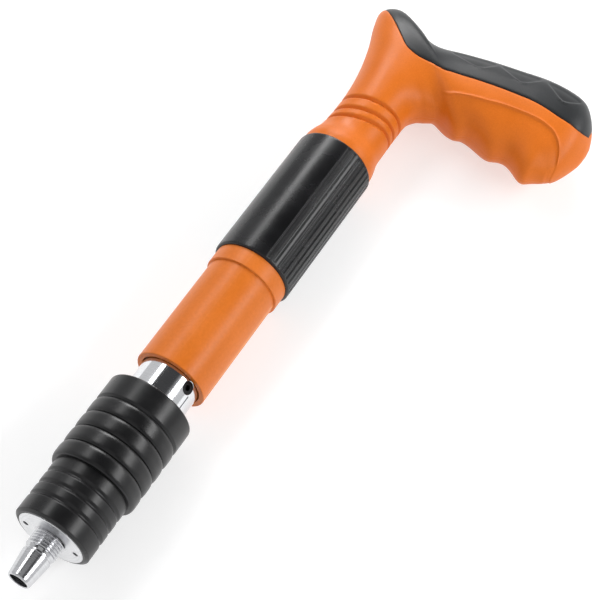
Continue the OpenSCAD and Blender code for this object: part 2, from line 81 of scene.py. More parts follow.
def radius(node):
    """Outer radius of a CAD node that is turned about X, in millimetres."""
    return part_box(node)[1].y / MM


def clamp(v, low=0.0, high=1.0):
    return max(low, min(high, v))


def smooth(v):
    """Eases from 0 to 1 as v goes from 0 to 1."""
    v = clamp(v)
    return v * v * (3 - 2 * v)


# ---------------------------------------------------------------- meshes

def new_object(name, bm, sharp=32):
    """Object made from bm, in millimetres, with outward normals and crisp edges."""
    bmesh.ops.recalc_face_normals(bm, faces=bm.faces)
    bmesh.ops.scale(bm, vec=(MM, MM, MM), verts=bm.verts)
    mesh = bpy.data.meshes.new(name)
    bm.to_mesh(mesh)
    bm.free()
    mesh.shade_smooth()
    mesh.set_sharp_from_angle(angle=radians(sharp))
    obj = bpy.data.objects.new(name, mesh)
    bpy.context.scene.collection.objects.link(obj)
    return obj


def weigh_normals(obj):
    """Large faces set the shading, so that small rounded edges catch the light cleanly."""
    weighted = obj.modifiers.new("weighted", "WEIGHTED_NORMAL")
    weighted.keep_sharp = True
    return obj


def rounded(corners, steps=5):
    """Closed profile through (x, radius, rounding) corners, with each corner rounded off."""
    most = 0.48  # of a side, so that two roundings never meet
    points = []
    for i, (x, r, size) in enumerate(corners):
        here = Vector((x, r))
        back = Vector(corners[i - 1][:2]) - here
        ahead = Vector(corners[(i + 1) % len(corners)][:2]) - here
        if not size:
            points.append((x, r))
            continue
        half = back.angle(ahead) / 2
        reach = min(size * cos(half) / sin(half), most * back.length, most * ahead.length)
        away = (back.normalized() + ahead.normalized()).normalized()
        middle = here + away * (reach / cos(half))
        first = here + back.normalized() * reach - middle
        last = here + ahead.normalized() * reach - middle
        for k in range(steps + 1):
            spoke = first.slerp(last, k / steps).normalized() * first.length
            points.append(tuple(middle + spoke))
    return points


def lathe(name, profile, sides=192, shape=None, sharp=32):
    """Ring turned about X from a closed profile of (x, radius) points. shape(x, r, angle)
    gives the radius where it changes round the axis; the angle runs from +Z towards -Y."""
    bm = bmesh.new()
    rings = []
    for x, r in profile:
        ring = []
        for j in range(sides):
            a = 2 * pi * j / sides
            q = shape(x, r, a) if shape else r
            ring.append(bm.verts.new((x, -q * sin(a), q * cos(a))))
        rings.append(ring)
    for one, two in zip(rings, rings[1:] + rings[:1]):
        for j in range(sides):
            k = (j + 1) % sides
            bm.faces.new((one[j], two[j], two[k], one[k]))
    return weigh_normals(new_object(name, bm, sharp))


def cut(obj, cutter, operation="DIFFERENCE", sharp=32):
    """Takes the cutter out of obj, or joins it to obj, and removes the cutter."""
    made = obj.modifiers.new("cut", "BOOLEAN")
    made.object = cutter
    made.operation = operation
    made.solver = "EXACT"
    weighted = "weighted" in obj.modifiers
    if weighted:
        obj.modifiers.remove(obj.modifiers["weighted"])
    graph = bpy.context.evaluated_depsgraph_get()
    mesh = bpy.data.meshes.new_from_object(obj.evaluated_get(graph))
    obj.modifiers.clear()
    obj.data = mesh
    mesh.shade_smooth()
    mesh.set_sharp_from_angle(angle=radians(sharp))
    bpy.data.objects.remove(cutter)
    return weigh_normals(obj) if weighted else obj


def rods(name, placings, profile, sides=48):
    """Rods through (height, radius) points, one along the Z axis of each placing."""
    bm = bmesh.new()
    for placing in placings:
        rings = []
        for h, r in profile:
            rings.append([
                bm.verts.new(placing @ Vector((
                    r * cos(2 * pi * j / sides), r * sin(2 * pi * j / sides), h)))
                for j in range(sides)])
        for one, two in zip(rings, rings[1:]):
            for j in range(sides):
                k = (j + 1) % sides
                bm.faces.new((one[j], one[k], two[k], two[j]))
        bm.faces.new(reversed(rings[0]))
        bm.faces.new(rings[-1])
    return new_object(name, bm)


def coil(name, x0, x1, r, wire, turns, sides=16, per_turn=64):
    """Helical spring about X from x0 to x1, of wire radius wire on a coil of radius r."""
    # the turns at both ends lie flatter, as on a ground spring
    end_turns, end_pitch = 0.75, 0.35
    places = []
    for i in range(turns * per_turn + 1):
        t = i / per_turn
        ease = smooth(t / end_turns) * smooth((turns - t) / end_turns)
        places.append((t, end_pitch + (1 - end_pitch) * ease))
    total = sum(advance for _, advance in places)
    bm = bmesh.new()
    run = 0.0
    previous = None
    for t, advance in places:
        run += advance / total
        x = x0 + wire + (x1 - x0 - 2 * wire) * run
        a = 2 * pi * t
        ring = []
        for j in range(sides):
            b = 2 * pi * j / sides
            out = r + wire * cos(b)
            ring.append(bm.verts.new((x + wire * sin(b), out * cos(a), out * sin(a))))
        if previous:
            for j in range(sides):
                k = (j + 1) % sides
                bm.faces.new((previous[j], previous[k], ring[k], ring[j]))
        else:
            bm.faces.new(reversed(ring))
        previous = ring
    bm.faces.new(previous)
    return new_object(name, bm, 60)


# ---------------------------------------------------------------- materials

def add(tree, kind, inputs=None, **settings):
    """New node with its settings, its fixed inputs and its links."""
    node = tree.nodes.new(kind)
    for key, value in settings.items():
        setattr(node, key, value)
    for key, value in (inputs or {}).items():
        if isinstance(value, bpy.types.NodeSocket):
            tree.links.new(value, node.inputs[key])
        else:
            node.inputs[key].default_value = value
    return node


def rings_about_x(tree, position):
    """Coordinates that are the same all round the X axis: (x, distance from the axis, 0)."""
    parts = add(tree, "ShaderNodeSeparateXYZ", {0: position})
    flat = add(tree, "ShaderNodeCombineXYZ", {1: parts.outputs[1], 2: parts.outputs[2]})
    away = add(tree, "ShaderNodeVectorMath", {0: flat.outputs[0]}, operation="LENGTH")
    return add(
        tree, "ShaderNodeCombineXYZ", {0: parts.outputs[0], 1: away.outputs["Value"]}
    ).outputs[0]


def material(name, dark, light, metal=0.0, rough=(0.3, 0.4), drift=45.0, grain=1500.0,
             grain_depth=0.1, grain_size=0.00002, turned=False, coat=0.0, coat_rough=0.1,
             specular=0.5, worn_edge_and_highlight=None, speck=0.0, glow=0.0):
    """Surface whose colour drifts from dark to light and whose roughness drifts, with a
    fine grain in its relief. turned draws the grain as rings about X, the edge colour
    lightens raised edges, partly as wear and partly as a painted highlight, speck adds
    moulding grain, and glow is light of its own."""
    mat = bpy.data.materials.new(name)
    mat.use_nodes = True
    tree = mat.node_tree
    tree.nodes.clear()
    out = add(tree, "ShaderNodeOutputMaterial")
    shader = add(tree, "ShaderNodeBsdfPrincipled", {
        "Metallic": metal, "Coat Weight": coat, "Coat Roughness": coat_rough,
        "Specular IOR Level": specular, "Emission Strength": glow})
    tree.links.new(shader.outputs[0], out.inputs["Surface"])
    position = add(tree, "ShaderNodeTexCoord").outputs["Object"]
    grain_position = rings_about_x(tree, position) if turned else position

    cloud = add(tree, "ShaderNodeTexNoise", {
        "Vector": position, "Scale": drift, "Detail": 4.0, "Roughness": 0.6})
    fine = add(tree, "ShaderNodeTexNoise", {
        "Vector": grain_position, "Scale": grain, "Detail": 3.0, "Roughness": 0.55})
    both = add(tree, "ShaderNodeMath", {
        0: cloud.outputs["Fac"], 1: fine.outputs["Fac"]}, operation="ADD")
    ramp = add(tree, "ShaderNodeMapRange", {
        "Value": both.outputs[0], "From Min": 0.75, "From Max": 1.25})
    tint = add(tree, "ShaderNodeMix", {
        "Factor": ramp.outputs[0], 6: (*dark, 1.0), 7: (*light, 1.0)}, data_type="RGBA")
    colour = tint.outputs[2]
    # raised edges are lightened, partly as wear and partly as a painted highlight along the edge
    if worn_edge_and_highlight:
        edge = add(tree, "ShaderNodeNewGeometry")
        raised = add(tree, "ShaderNodeMapRange", {
            "Value": edge.outputs["Pointiness"], "From Min": 0.51, "From Max": 0.58,
            "To Max": 1.2})
        patchy_edge_lightening = add(tree, "ShaderNodeMath", {
            0: raised.outputs[0], 1: cloud.outputs["Fac"]}, operation="MULTIPLY")
        colour = add(tree, "ShaderNodeMix", {
            "Factor": patchy_edge_lightening.outputs[0], 6: colour, 7: (*worn_edge_and_highlight, 1.0)},
            data_type="RGBA").outputs[2]
    tree.links.new(colour, shader.inputs["Base Color"])
    gloss = add(tree, "ShaderNodeMapRange", {
        "Value": cloud.outputs["Fac"], "From Min": 0.35, "From Max": 0.65,
        "To Min": rough[0], "To Max": rough[1]})
    tree.links.new(gloss.outputs[0], shader.inputs["Roughness"])
    relief = add(tree, "ShaderNodeBump", {
        "Height": fine.outputs["Fac"], "Strength": grain_depth, "Distance": grain_size})
    normal = relief.outputs[0]
    if speck:
        dots = add(tree, "ShaderNodeTexVoronoi", {"Vector": position, "Scale": grain * 0.6})
        normal = add(tree, "ShaderNodeBump", {
            "Height": dots.outputs["Distance"], "Strength": speck,
            "Distance": grain_size, "Normal": normal}).outputs[0]
    tree.links.new(normal, shader.inputs["Normal"])
    return mat


# the edge colours of the black rubber, orange paint and black grip lighten raised edges: partly
# wear, partly a painted highlight
FINISH = {
    "polished_steel": material(
        "polished_steel", (0.70, 0.71, 0.73), (0.86, 0.87, 0.88), metal=1.0,
        rough=(0.10, 0.16), grain=2600.0, grain_depth=0.25, turned=True),
    "satin_aluminium": material(
        "satin_aluminium", (0.66, 0.67, 0.68), (0.86, 0.86, 0.87), metal=1.0,
        rough=(0.24, 0.34), grain=2200.0, grain_depth=0.6, turned=True),
    "black_rubber": material(
        "black_rubber", (0.004, 0.004, 0.0045), (0.008, 0.008, 0.0085),
        rough=(0.27, 0.35), grain=1900.0, grain_depth=0.35, speck=0.2, specular=0.42,
        worn_edge_and_highlight=(0.03, 0.03, 0.031)),
    "plain_steel": material(
        "plain_steel", (0.60, 0.61, 0.62), (0.74, 0.74, 0.76), metal=1.0,
        rough=(0.16, 0.22), grain=1800.0, grain_depth=0.12, turned=True),
    "spring_steel": material(
        "spring_steel", (0.30, 0.31, 0.33), (0.46, 0.46, 0.48), metal=1.0,
        rough=(0.22, 0.34), grain=2400.0, grain_depth=0.3),
    "bronze": material(
        "bronze", (0.44, 0.26, 0.10), (0.62, 0.40, 0.17), metal=1.0,
        rough=(0.26, 0.38), grain=1900.0, grain_depth=0.5, turned=True),
    "orange_paint": material(
        "orange_paint", (0.62, 0.146, 0.010), (0.69, 0.168, 0.015),
        rough=(0.36, 0.44), grain=700.0, grain_depth=0.12, coat=0.08, coat_rough=0.25,
        specular=0.25, worn_edge_and_highlight=(0.86, 0.34, 0.10)),
    "orange_plastic": material(
        "orange_plastic", (0.62, 0.138, 0.008), (0.69, 0.160, 0.012),
        rough=(0.36, 0.46), grain=1300.0, grain_depth=0.3, speck=0.15, specular=0.25),
    "black_grip": material(
        "black_grip", (0.003, 0.003, 0.0035), (0.006, 0.006, 0.007),
        rough=(0.22, 0.30), grain=1700.0, grain_depth=0.15, specular=0.42,
        worn_edge_and_highlight=(0.04, 0.04, 0.042)),
    "strap_rubber": material(
        "strap_rubber", (0.006, 0.007, 0.008), (0.011, 0.013, 0.015),
        rough=(0.36, 0.46), grain=1500.0, grain_depth=0.4, speck=0.25, specular=0.4),
    "black_oxide": material(
        "black_oxide", (0.012, 0.012, 0.013), (0.030, 0.030, 0.032), metal=0.6,
        rough=(0.30, 0.45), grain=2200.0, grain_depth=0.4),
}


def place(obj, *nodes):
    """obj rides with the body of the CAD nodes it stands for, in their finish."""
    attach(obj, BODY_OF[nodes[0]])
    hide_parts(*nodes)
    slot = SLOT_OF[nodes[0]]
    obj.data.materials.clear()
    obj.data.materials.append(FINISH[slot])
    return obj


# every CAD node that stays takes its finish from the same table
for node_name, node_obj in frame["nodes"].items():
    for index in range(len(node_obj.material_slots)):
        node_obj.material_slots[index].material = FINISH[SLOT_OF[node_name]]


# ---------------------------------------------------------------- nozzle and front disc

NOZZLE_END = span("nozzle")[1]
NAIL_R, NAIL_DEPTH, CHARGE_R, PIN_BORE_R, PIN_BORE_END = 4.4, 28.0, 3.6, 8.05, 38.0
THREAD_X, THREAD_R, THREAD_PITCH, THREAD_DEPTH = 15.7, 7.62, 1.45, 1.0
# smaller radii at the thread belong to the bore
THREAD_LEAST_R = 7.0
DISC_X, DISC_END = span("front_disc")
DISC_R, DISC_LIP_X, DISC_FIT_R, DISC_BORE_R = 16.7, 26.0, 16.5, 7.35
KEY_HOLE_Y, KEY_HOLE_R, KEY_HOLE_DEPTH = 13, 1.4, 3


def thread(x, r, a):
    """Radius of the helical thread on the nozzle."""
    if not THREAD_X - 0.05 <= x <= DISC_X or r < THREAD_LEAST_R:
        return r
    turn = ((x - THREAD_X) / THREAD_PITCH - a / (2 * pi)) % 1.0
    tooth = (1 + cos(2 * pi * turn)) / 2
    return r - THREAD_DEPTH * tooth * smooth((x - THREAD_X + 0.3) / 0.6)


def steps(first, last, size):
    """Evenly spaced numbers from first to last, about size apart."""
    count = max(1, ceil((last - first) / size))
    return [first + (last - first) * i / count for i in range(count + 1)]


def build_nozzle():
    cone = rounded([
        (0.0, 4.75, 0.0), (0.0, 5.3, 0.25), (0.75, 5.68, 0.3), (13.1, 7.15, 0.25),
        (13.6, 6.8, 0.15), (15.1, 6.8, 0.2)])
    # the neck's last corner opens into the thread, so its rounding stops one point early
    profile = cone[:-1] + [(x, THREAD_R) for x in steps(THREAD_X, DISC_X - 0.02, 0.06)]
    tail = [
        (DISC_X, 7.3), (DISC_END, 7.3), (DISC_END, 11.5), (34.0, 11.5), (34.0, 10.5),
        (NOZZLE_END, 10.5), (NOZZLE_END, PIN_BORE_R), (PIN_BORE_END, PIN_BORE_R),
        (PIN_BORE_END, CHARGE_R), (NAIL_DEPTH, CHARGE_R), (NAIL_DEPTH, NAIL_R),
        (0.35, NAIL_R)]
    return lathe("nozzle_turned", profile + tail, sides=192, shape=thread, sharp=50)


place(build_nozzle(), "nozzle")


def build_disc():
    profile = rounded([
        (DISC_X, DISC_BORE_R, 0.15), (DISC_X, DISC_R, 0.35), (DISC_LIP_X, DISC_R, 0.0),
        (DISC_LIP_X, DISC_FIT_R, 0.0), (DISC_END, DISC_FIT_R, 0.2),
        (DISC_END, DISC_BORE_R, 0.0)])
    disc = lathe("front_disc_turned", profile, sides=192)
    holes = [Matrix.Translation((DISC_X - 1, y, 0)) @ Matrix.Rotation(pi / 2, 4, "Y")
             for y in (-KEY_HOLE_Y, KEY_HOLE_Y)]
    depths = [(0, KEY_HOLE_R), (KEY_HOLE_DEPTH + 1, KEY_HOLE_R)]
    return cut(disc, rods("disc_holes", holes, depths, 32))


place(build_disc(), "front_disc")


# ---------------------------------------------------------------- muffler sleeve

SLEEVE_X, SLEEVE_END = span("muffler_sleeve")
FRONT_R, REAR_R = 19.25, radius("muffler_sleeve")
BORE_R, CAN_R, CAN_X, CAN_END = 16.72, 18.0, 26.0, 99.05
# middle of each groove in front of the step
GROOVES, GROOVE_HALF, GROOVE_DEPTH = (33.7, 40.2, 46.7), 1.5, 0.9
# lobes behind the step: middle of the first, and a narrow valley between two
STEP_X, LOBE_X, LOBE_PITCH, LOBE_COUNT, LOBE_FALL = 53.7, 57.95, 8.5, 4, 0.9
VALLEY_HALF, VALLEY_DEPTH = 0.35, 0.35
# plain band behind the lobes, which begins with a slope
BAND_X, BAND_SLOPE, BAND_SINK, BAND_START = LOBE_X + (LOBE_COUNT - 0.5) * LOBE_PITCH, 1.4, 0.1, 0.9


def sleeve_radius(x):
    """Radius of the muffler sleeve, with its front grooves and its rear lobes."""
    if x < STEP_X:
        r = FRONT_R
        for at in GROOVES:
            d = abs(x - at) / GROOVE_HALF
            if d < 1:
                r -= GROOVE_DEPTH * (1 + cos(pi * d)) / 2
        return r
    lobe = (x - LOBE_X) / LOBE_PITCH
    k = round(lobe)
    if 0 <= k < LOBE_COUNT:
        t = min(abs(lobe - k) * 2, 1.0)
        valley = clamp(1 - (1 - t) * LOBE_PITCH / 2 / VALLEY_HALF)
        return REAR_R - LOBE_FALL * t ** 4 - VALLEY_DEPTH * valley
    return REAR_R - BAND_SINK - BAND_START * smooth((BAND_X + BAND_SLOPE - x) / BAND_SLOPE)


def build_sleeve():
    plain_x, sampling = 30.0, 0.17
    front = rounded([
        (CAN_X, CAN_R, 0), (CAN_X, BORE_R, 0), (SLEEVE_X, BORE_R, 0.15),
        (SLEEVE_X, 17.7, 0.3), (SLEEVE_X + 1.0, FRONT_R, 0.4), (plain_x, FRONT_R, 0)], 7)
    profile = front[:-1]
    profile += [(x, sleeve_radius(x)) for x in steps(plain_x, STEP_X - 0.25, sampling)]
    profile += [(STEP_X, FRONT_R), (STEP_X + 0.02, REAR_R - 1.2)]
    profile += [
        (x, sleeve_radius(x)) for x in steps(STEP_X + 0.15, SLEEVE_END - 2.0, sampling)]
    back = rounded([
        (SLEEVE_END - 2.1, REAR_R - BAND_SINK, 0), (SLEEVE_END, REAR_R - BAND_SINK, 1.9),
        (SLEEVE_END, 17.02, 0.3), (CAN_END, 17.02, 0), (CAN_END, CAN_R, 0)], 7)
    return lathe("muffler_sleeve_ribbed", profile + back[1:], sides=224, sharp=40)


place(build_sleeve(), "muffler_sleeve")


# ---------------------------------------------------------------- slide tube

SLIDE_X, SLIDE_END = span("slide_tube")
SLIDE_R, SLIDE_BORE_R = 15.0, 12.0
STOP_GROOVE_X, STOP_GROOVE_END, STOP_GROOVE_R = 146.0, 148.6, 14.4
SET_SCREW_X, SET_SCREW_R, SET_SCREW_ANGLE = 113.6, 3.2, radians(50)
KEY_ANGLE, KEY_HALF = radians(62), 0.35


def build_slide_tube():
    profile = rounded([
        (SLIDE_X, SLIDE_BORE_R, 0), (SLIDE_X, SLIDE_R, 0.2), (STOP_GROOVE_X, SLIDE_R, 0),
        (STOP_GROOVE_X, STOP_GROOVE_R, 0), (STOP_GROOVE_END, STOP_GROOVE_R, 0),
        (STOP_GROOVE_END, SLIDE_R, 0), (SLIDE_END, SLIDE_R, 0.4),
        (SLIDE_END, SLIDE_BORE_R, 0)])
    tube = lathe("slide_tube_polished", profile, sides=256)
    turn = Matrix.Rotation(SET_SCREW_ANGLE, 4, "X")
    hole = turn @ Matrix.Translation((SET_SCREW_X, 0, 0))
    depths = [
        (8, SET_SCREW_R), (SLIDE_R - 0.25, SET_SCREW_R), (SLIDE_R + 0.6, SET_SCREW_R + 0.7)]
    tube = cut(tube, rods("screw_hole", [hole], depths, 64))
    key = bmesh.new()
    turn = Matrix.Rotation(KEY_ANGLE, 4, "X")
    verts = [
        key.verts.new(turn @ Vector((x, y, z)))
        for x in (SLEEVE_END - 1.0, SET_SCREW_X - 2.5) for y in (-KEY_HALF, KEY_HALF)
        for z in (SLIDE_R - 0.4, SLIDE_R + 1.0)]
    for f in ((0, 1, 3, 2), (4, 6, 7, 5), (0, 4, 5, 1), (2, 3, 7, 6), (0, 2, 6, 4),
              (1, 5, 7, 3)):
        key.faces.new([verts[i] for i in f])
    return cut(tube, new_object("key_slot", key))


place(build_slide_tube(), "slide_tube")


# ---------------------------------------------------------------- outer tube, ring, grip

OUTER_X, OUTER_END = span("outer_tube")
RING_X, RING_END = span("tube_ring")
GRIP_X, GRIP_END = span("grip_sleeve")
OUTER_R, RING_R, GRIP_R = radius("outer_tube"), radius("tube_ring"), radius("grip_sleeve")
# the mouth closes in on the slide tube, in front of the front bush
MOUTH_R, BUSH_X, OUTER_BORE_R = 15.5, span("front_bush")[0], 17.0
FIT_R = OUTER_R + 0.05
SIDE_HOLE_X, SIDE_HOLE_R = 183.6, 2.0


def build_outer_tube():
    profile = rounded([
        (OUTER_X, MOUTH_R, 0.3), (OUTER_X, OUTER_R, 0.45), (OUTER_END, OUTER_R, 0.3),
        (OUTER_END, OUTER_BORE_R, 0), (BUSH_X, OUTER_BORE_R, 0.2), (BUSH_X, MOUTH_R, 0)], 6)
    tube = lathe("outer_tube_painted", profile, sides=256)
    holes = [Matrix.Translation((SIDE_HOLE_X, 0, 0)) @ Matrix.Rotation(a, 4, "X")
             for a in (pi / 2, -pi / 2)]
    depths = [(OUTER_BORE_R - 1, SIDE_HOLE_R), (OUTER_BORE_R + 3, SIDE_HOLE_R)]
    return cut(tube, rods("side_holes", holes, depths, 32))


place(build_outer_tube(), "outer_tube")

ring_profile = rounded([
    (RING_X, FIT_R, 0), (RING_X, RING_R, 0.6), (RING_END, RING_R, 0.25), (RING_END, FIT_R, 0)], 6)
place(lathe("tube_ring_painted", ring_profile, sides=256), "tube_ring")

# two ribbed panels: angles of their middles, and the round-bottomed grooves in each
PANELS = (radians(65), radians(245))
FLUTE_STEP, FLUTE_COUNT, FLUTE_DEPTH, FLUTE_HALF = radians(10), 10, 0.75, 0.95
FLUTE_INSET, FLUTE_RUNOUT = 0.9, 0.8
GRIP_EDGE = 1.3


def grip_radius(x, r, a):
    """Radius of the grip sleeve, with the flutes of its two panels."""
    if r < GRIP_R - 0.1:
        return r
    ends = smooth((x - GRIP_X - FLUTE_INSET) / FLUTE_RUNOUT)
    ends *= smooth((GRIP_END - x - FLUTE_INSET) / FLUTE_RUNOUT)
    for panel in PANELS:
        off = (a - panel + pi) % (2 * pi) - pi
        k = round(off / FLUTE_STEP - 0.5) + 0.5
        if abs(k) < FLUTE_COUNT / 2:
            d = abs(off - k * FLUTE_STEP) * GRIP_R / FLUTE_HALF
            if d < 1:
                return r - FLUTE_DEPTH * ends * (1 - d ** 4)
    return r


def build_grip():
    fine_l = 5
    front = rounded([
        (GRIP_X, FIT_R, 0), (GRIP_X, GRIP_R, GRIP_EDGE), (GRIP_X + fine_l, GRIP_R, 0)], 7)
    back = rounded([
        (GRIP_END - fine_l, GRIP_R, 0), (GRIP_END, GRIP_R, GRIP_EDGE), (GRIP_END, FIT_R, 0)], 7)
    middle = steps(GRIP_X + 1.6, GRIP_X + fine_l, 0.3) + steps(GRIP_X + 8, GRIP_END - 8, 8)
    middle += steps(GRIP_END - fine_l, GRIP_END - 1.6, 0.3)
    profile = front[:-1] + [(x, GRIP_R) for x in middle] + back[1:]
    return lathe("grip_sleeve_ribbed", profile, sides=720, shape=grip_radius, sharp=50)


place(build_grip(), "grip_sleeve")


# ---------------------------------------------------------------- handle

# X and Y on the back, X and Y on the finger side, half thickness, as in the CAD part
SECTIONS = [
    [265.2, 19.8, 265.2, -19.8, 19.85], [268.6, 19.8, 268.6, -19.8, 19.85],
    [272.0, 19.0, 272.0, -19.3, 19.0], [279.0, 17.0, 279.0, -17.8, 17.3],
    [292.0, 16.2, 290.0, -17.6, 17.2], [306.0, 16.6, 300.0, -17.6, 17.4],
    [322.0, 18.7, 309.8, -18.2, 17.6], [338.0, 22.6, 314.9, -21.6, 17.8],
    [351.6, 27.3, 316.9, -25.5, 18.0], [361.4, 28.9, 318.6, -29.2, 18.0],
    [366.8, 22.6, 318.4, -33.8, 18.0], [363.6, 12.6, 317.0, -38.8, 18.0],
    [358.0, 3.0, 316.5, -44.0, 17.8], [357.0, -7.0, 316.4, -49.8, 17.6],
    [361.6, -21.0, 316.1, -57.0, 17.4], [366.4, -37.0, 315.7, -64.0, 17.2],
    [370.0, -52.0, 315.0, -70.5, 17.0], [373.2, -66.0, 314.0, -77.0, 16.8],
    [374.0, -79.0, 313.2, -84.2, 16.0], [372.0, -89.0, 316.0, -91.2, 14.5],
    [365.6, -95.6, 322.0, -97.2, 11.5], [357.0, -100.6, 334.4, -102.6, 5.5],
    [349.0, -103.3, 343.0, -103.8, 1.6]]
LAST = len(SECTIONS) - 1
# squareness of the cross-section, 2 for an ellipse
SQUARE = 2.1
# scallops for the fingers: y of one crest, where they fade out, and how far round they reach
FINGER = {"depth": 2.3, "pitch": 21.5, "y": -60.9, "from": -28.0, "to": -92.0, "fade": 8.0}
FINGER_SPREAD = 0.7
STRAP_FROM, STRAP_TO, STRAP_T = 8.33, 20.8, 2.0
# the strap's front end leans back over the horn: how far, and over what length
LEAN, LEAN_AT, LEAN_LENGTH = 0.9, 8.4, 3.0
# half of the angle that the strap covers: place along the handle, angle from the back
STRAP_EDGE = [
    (8.33, 84), (8.5, 92), (9, 101), (9.8, 105), (10.6, 102), (11.4, 97), (12.2, 91),
    (12.9, 87), (14, 86), (16.4, 85), (18.5, 87), (19.5, 86), (20.4, 80), (20.8, 68)]
# the fine line that borders the finger side: place along the handle, angle round it
BEAD_LINE = [
    (9.6, 136), (10.0, 133), (12.08, 117), (13.8, 108), (15.16, 103.5), (16.6, 101.5),
    (17.59, 100), (18.29, 102.5), (18.88, 111.5), (19.36, 123.5), (19.59, 138), (19.7, 150)]
BEAD_FROM, BEAD_TO, BEAD_HEIGHT, BEAD_WIDTH = 10.0, 19.7, 0.75, 0.42
# the skin is sunk a little on the finger side of the bead
SUNK, SUNK_RISE, SUNK_END, SUNK_FALL = 0.45, 2.5, 8, 6
NECK_GROOVES, NECK_HALF, NECK_DEPTH, NECK_LEAN = (3.26, 3.73, 4.35), 1.7, 1.6, 0.75
SEAM_HALF, SEAM_DEPTH = 0.35, 0.12
# millimetres to one place along the handle, at the grip, at the neck and at the strap's
# ends, and to one degree round it
MM_PER_PLACE, MM_AT_NECK, MM_AT_ENDS, MM_PER_DEGREE = 10.0, 13.0, 6.0, 0.31
# the shell is hollow up to here, with this wall behind a socket for the rear plug
CLOSED_U, WALL = 19.6, 4.2
SOCKET_R, SOCKET_END, TENON_R = 17.1, 268.3, 14.0
# keeps the finely sampled skin inside the coarser CAD one
SKIN_INSET = 0.25


def between(table, u):
    """Value at u on the straight lines through a table of (u, value)."""
    if u <= table[0][0]:
        return table[0][1]
    for (u0, v0), (u1, v1) in zip(table, table[1:]):
        if u <= u1:
            return v0 + (v1 - v0) * (u - u0) / (u1 - u0)
    return table[-1][1]


def eased(table, u, reach):
    """The same, with its corners rounded off over reach."""
    return sum(between(table, u + reach * k / 3) for k in range(-3, 4)) / 7


def strap_half(u):
    """Half of the angle that the strap covers round the back."""
    near_end = min(u - STRAP_FROM, STRAP_TO - u)
    return eased(STRAP_EDGE, clamp(u, STRAP_FROM, STRAP_TO), clamp(near_end, 0.02, 0.3))


def section(u):
    """Row of SECTIONS at u, on a smooth curve through them."""
    k = min(max(int(floor(u)), 0), LAST - 1)
    t = u - k
    rows = [SECTIONS[min(max(i, 0), LAST)] for i in range(k - 1, k + 3)]
    return [
        (2 * b + (c - a) * t + (2 * a - 5 * b + 4 * c - d) * t * t
         + (3 * b - a - 3 * c + d) * t ** 3) / 2
        for a, b, c, d in zip(*rows)]


def squared(v):
    """A cosine or sine, bent for a cross-section squarer than an ellipse."""
    return (1 if v > 0 else -1) * abs(v) ** (2 / SQUARE) if v else 0.0


def finger_ridge(y):
    """How far the finger side stands out at y."""
    f = FINGER
    wave = f["depth"] * cos(2 * pi * (y - f["y"]) / f["pitch"])
    return wave * clamp((f["from"] - y) / f["fade"]) * clamp((y - f["to"]) / f["fade"])


def skin(u, degrees, grow=0.0):
    """Point on the handle's surface at u along it and an angle round it from the back."""
    grow -= SKIN_INSET
    s = section(clamp(u, 0, LAST))
    a = radians(degrees)
    half = Vector(((s[0] - s[2]) / 2, (s[1] - s[3]) / 2))
    out = grow + finger_ridge(s[3]) * max(-cos(a), 0.0) ** FINGER_SPREAD
    k = (half.length + out) / half.length * squared(cos(a))
    return Vector((
        (s[0] + s[2]) / 2 + half.x * k, (s[1] + s[3]) / 2 + half.y * k,
        (s[4] + grow) * squared(sin(a))))


def leaning(u, degrees):
    """Place along the handle of the point at u, which leans back over the horn."""
    near = smooth(1 - abs(u - LEAN_AT) / LEAN_LENGTH)
    return u + LEAN * max(cos(radians(degrees)), 0.0) * near


def bead_at(u):
    """Angle of the bead at u, and how much longer the bead is than its run along u."""
    low, here, high = (eased(BEAD_LINE, u + d, 0.2) for d in (-0.05, 0, 0.05))
    slope = (high - low) / 0.1 * MM_PER_DEGREE / MM_PER_PLACE
    return here, hypot(1, slope)


def neck_relief(u, degrees):
    """Grooves round the neck, which lean towards the handle on the finger side."""
    lean = NECK_LEAN * ((1 - cos(radians(degrees))) / 2) ** 1.5
    for at in NECK_GROOVES:
        d = abs(u - at - lean) * MM_AT_NECK / NECK_HALF
        if d < 1:
            return -NECK_DEPTH * (1 + cos(pi * d)) / 2
    return 0.0


def strap_recess(u, degrees):
    """Recess that the strap lies in, with a small step round it."""
    across = (strap_half(u) - degrees) * MM_PER_DEGREE
    inside = min(across, min(u - STRAP_FROM, STRAP_TO - u) * MM_AT_ENDS)
    if inside <= -0.45:
        return 0.0
    if inside < 0.1:
        return -0.12 - 0.33 * clamp(inside / 0.35 + 0.6)
    return -STRAP_T - 0.03


def bead_relief(u, degrees):
    """Bead that borders the finger side, and the sunk skin next to it."""
    line, stretch = bead_at(u)
    off = (degrees - line) * MM_PER_DEGREE / stretch
    fade = smooth((u - BEAD_FROM) / 1.5) * smooth((BEAD_TO - u) / 0.15)
    sunk = SUNK * smooth(off / SUNK_RISE) * (1 - smooth((off - SUNK_END) / SUNK_FALL))
    return (BEAD_HEIGHT * exp(-((off / BEAD_WIDTH) ** 2)) - sunk) * fade


def shell_relief(u, degrees):
    """How far the orange skin stands above or below the plain surface, in millimetres."""
    seam = min(degrees, 180 - degrees) * MM_PER_DEGREE
    groove = SEAM_DEPTH * (1 - smooth(seam / SEAM_HALF))
    return neck_relief(u, degrees) + strap_recess(u, degrees) + bead_relief(u, degrees) - groove


# columns of the shell's mesh, in millimetres from the strap's edge and from the bead
EDGE_COLUMNS = (-0.6, -0.12, -0.08, 0.0, 0.15, 0.3, 0.46, 0.8)
BEAD_COLUMNS = (-1.4, -0.95, -0.65, -0.4, -0.2, 0, 0.2, 0.4, 0.65, 0.95, 1.4, 2.0)


